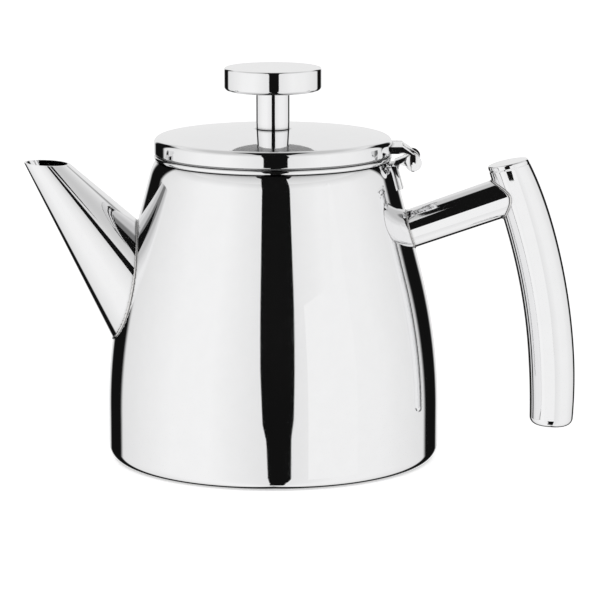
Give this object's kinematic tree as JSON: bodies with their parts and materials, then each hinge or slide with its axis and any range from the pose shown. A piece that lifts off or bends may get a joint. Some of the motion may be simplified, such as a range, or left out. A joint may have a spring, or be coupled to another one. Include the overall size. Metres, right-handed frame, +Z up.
{
  "type": "infuser teapot",
  "caption": "Polished steel double-walled teapot with a conical spout, hinged lid with a disc knob, curved tube handle and a lift-out infuser basket.",
  "frame": {"origin": "centre of the base, on the surface it stands on", "axes": "+Z up; the spout points to -X and the handle to +X, so +X is the longest direction; the part is the same on both sides of Y = 0"},
  "size_m": [0.1957, 0.1174, 0.139],
  "materials": {
    "mirror_steel": "mirror polished stainless steel",
    "satin_steel": "satin, as spun",
    "hinge_steel": "polished, with soft edges",
    "fastener_steel": "plain machined",
    "infuser_steel": "fine perforated sheet, lightly polished"
  },
  "bodies": {
    "pot": {"body_shell": "mirror_steel", "base_plate": "satin_steel", "liner_floor": "satin_steel", "inner_liner": "satin_steel", "mouth_ring": "mirror_steel", "spout": "mirror_steel", "spout_duct": "satin_steel", "handle_arm": "mirror_steel", "handle_grip": "mirror_steel", "grip_top_cap": "mirror_steel", "grip_bottom_cap": "mirror_steel", "hinge_bracket": "hinge_steel", "hinge_pin": "hinge_steel"},
    "lid": {"lid_shell": "mirror_steel", "lid_underside": "satin_steel", "hinge_leaf": "hinge_steel", "knob_stem": "mirror_steel", "knob_floor": "mirror_steel", "knob_cap": "mirror_steel", "knob_washer": "fastener_steel", "knob_screw": "fastener_steel"},
    "infuser": {"infuser_basket": "infuser_steel", "infuser_floor": "infuser_steel", "infuser_rim": "infuser_steel", "infuser_tabs": "infuser_steel"}
  },
  "joints": [
    {"name": "lid_hinge", "type": "hinge", "parent": "pot", "child": "lid", "pos_m": [0.0493, 0, 0.1062], "axis": [0, 1, 0], "range_deg": [0, 110]},
    {"name": "infuser_lift", "type": "slide", "parent": "pot", "child": "infuser", "axis": [0, 0, 1], "range_m": [0, 0.0385]}
  ],
  "couplings": [
    {"joint": "infuser_lift", "follows": "lid_hinge", "m_per_rad": 0.0198}
  ]
}
